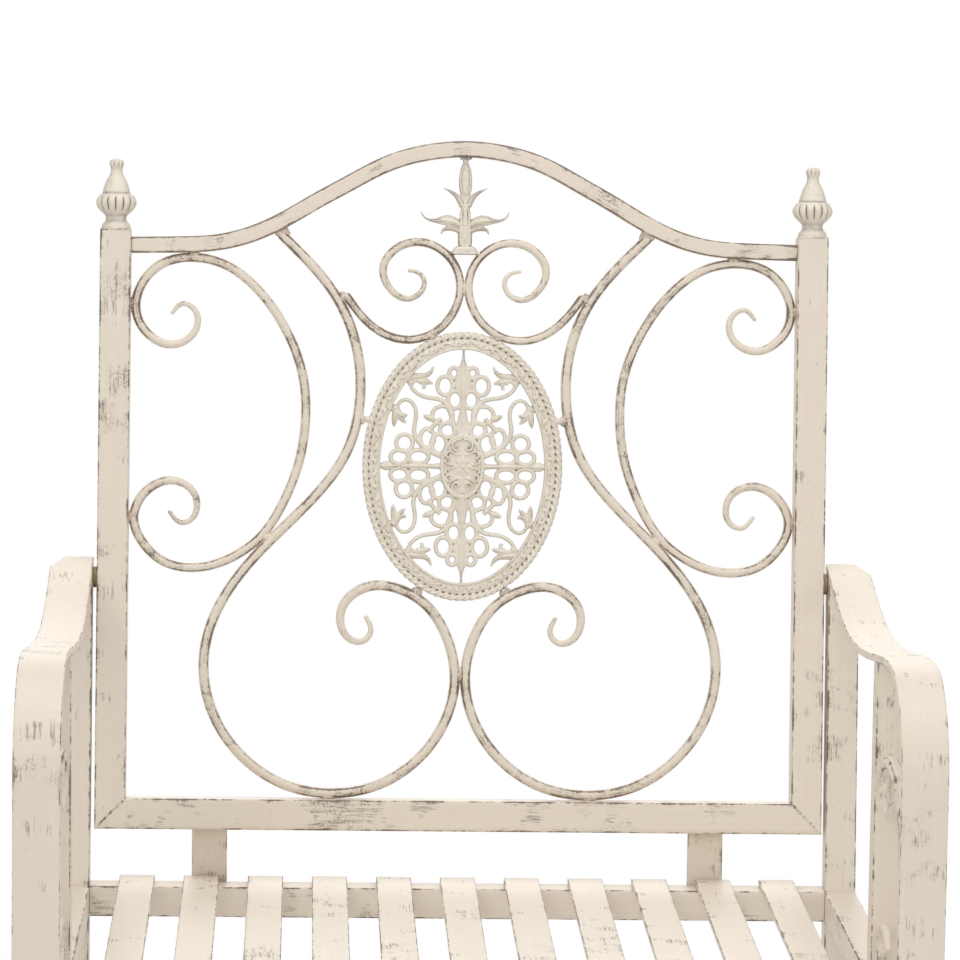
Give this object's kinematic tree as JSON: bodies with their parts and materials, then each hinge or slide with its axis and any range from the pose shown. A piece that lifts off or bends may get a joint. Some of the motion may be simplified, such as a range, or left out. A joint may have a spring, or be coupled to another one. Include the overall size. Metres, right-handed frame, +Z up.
{
  "type": "garden armchair",
  "caption": "Garden armchair of painted iron with a scrolled back panel, an oval filigree medallion, flat curved arms and a slatted seat.",
  "frame": {"origin": "on the floor, under the middle of the chair's bounding box", "axes": "+Z up, the chair faces -Y, +X to the right as seen from the front"},
  "size_m": [0.59, 0.5322, 0.9563],
  "materials": {
    "painted_back_frame": "satin antique cream paint with brown rubbed-through edges",
    "painted_scrolls": "satin antique cream paint rubbed through to brown along the bars",
    "painted_casting": "antique cream paint with brown wash in the hollows",
    "painted_side_frames": "satin antique cream paint with brown rubbed-through edges",
    "painted_seat_rails": "satin antique cream paint",
    "painted_seat_strips": "satin antique cream paint with brown rubbed-through edges",
    "bolts": "dull zinc plate",
    "spacers": "dull zinc plate",
    "glides": "matt moulded plastic"
  },
  "bodies": {
    "root": {"arm_and_front_leg_left": "painted_side_frames", "arm_and_front_leg_right": "painted_side_frames", "arm_bolt_left": "bolts", "arm_bolt_right": "bolts", "arm_support_left": "painted_side_frames", "arm_support_right": "painted_side_frames", "back_bottom_rail": "painted_back_frame", "back_lug_left": "painted_seat_rails", "back_lug_right": "painted_seat_rails", "back_post_left": "painted_back_frame", "back_post_right": "painted_back_frame", "back_top_rail": "painted_back_frame", "finial_left": "painted_casting", "finial_right": "painted_casting", "front_glide_left": "glides", "front_glide_right": "glides", "front_seat_bolt_left": "bolts", "front_seat_bolt_right": "bolts", "heart_scroll_left": "painted_scrolls", "heart_scroll_right": "painted_scrolls", "lug_bolt_left": "bolts", "lug_bolt_right": "bolts", "medallion": "painted_casting", "outer_scroll_left": "painted_scrolls", "outer_scroll_right": "painted_scrolls", "palmette": "painted_casting", "rear_glide_left": "glides", "rear_glide_right": "glides", "rear_leg_left": "painted_side_frames", "rear_leg_right": "painted_side_frames", "rear_seat_bolt_left": "bolts", "rear_seat_bolt_right": "bolts", "s_scroll_left": "painted_scrolls", "s_scroll_right": "painted_scrolls", "seat_front_rail": "painted_seat_rails", "seat_rear_rail": "painted_seat_rails", "seat_strip_1": "painted_seat_strips", "seat_strip_10": "painted_seat_strips", "seat_strip_11": "painted_seat_strips", "seat_strip_2": "painted_seat_strips", "seat_strip_3": "painted_seat_strips", "seat_strip_4": "painted_seat_strips", "seat_strip_5": "painted_seat_strips", "seat_strip_6": "painted_seat_strips", "seat_strip_7": "painted_seat_strips", "seat_strip_8": "painted_seat_strips", "seat_strip_9": "painted_seat_strips", "side_rail_left": "painted_side_frames", "side_rail_right": "painted_side_frames", "side_scroll_left": "painted_scrolls", "side_scroll_right": "painted_scrolls", "side_stretcher_left": "painted_side_frames", "side_stretcher_right": "painted_side_frames", "spacer_left": "spacers", "spacer_right": "spacers"}
  },
  "joints": []
}
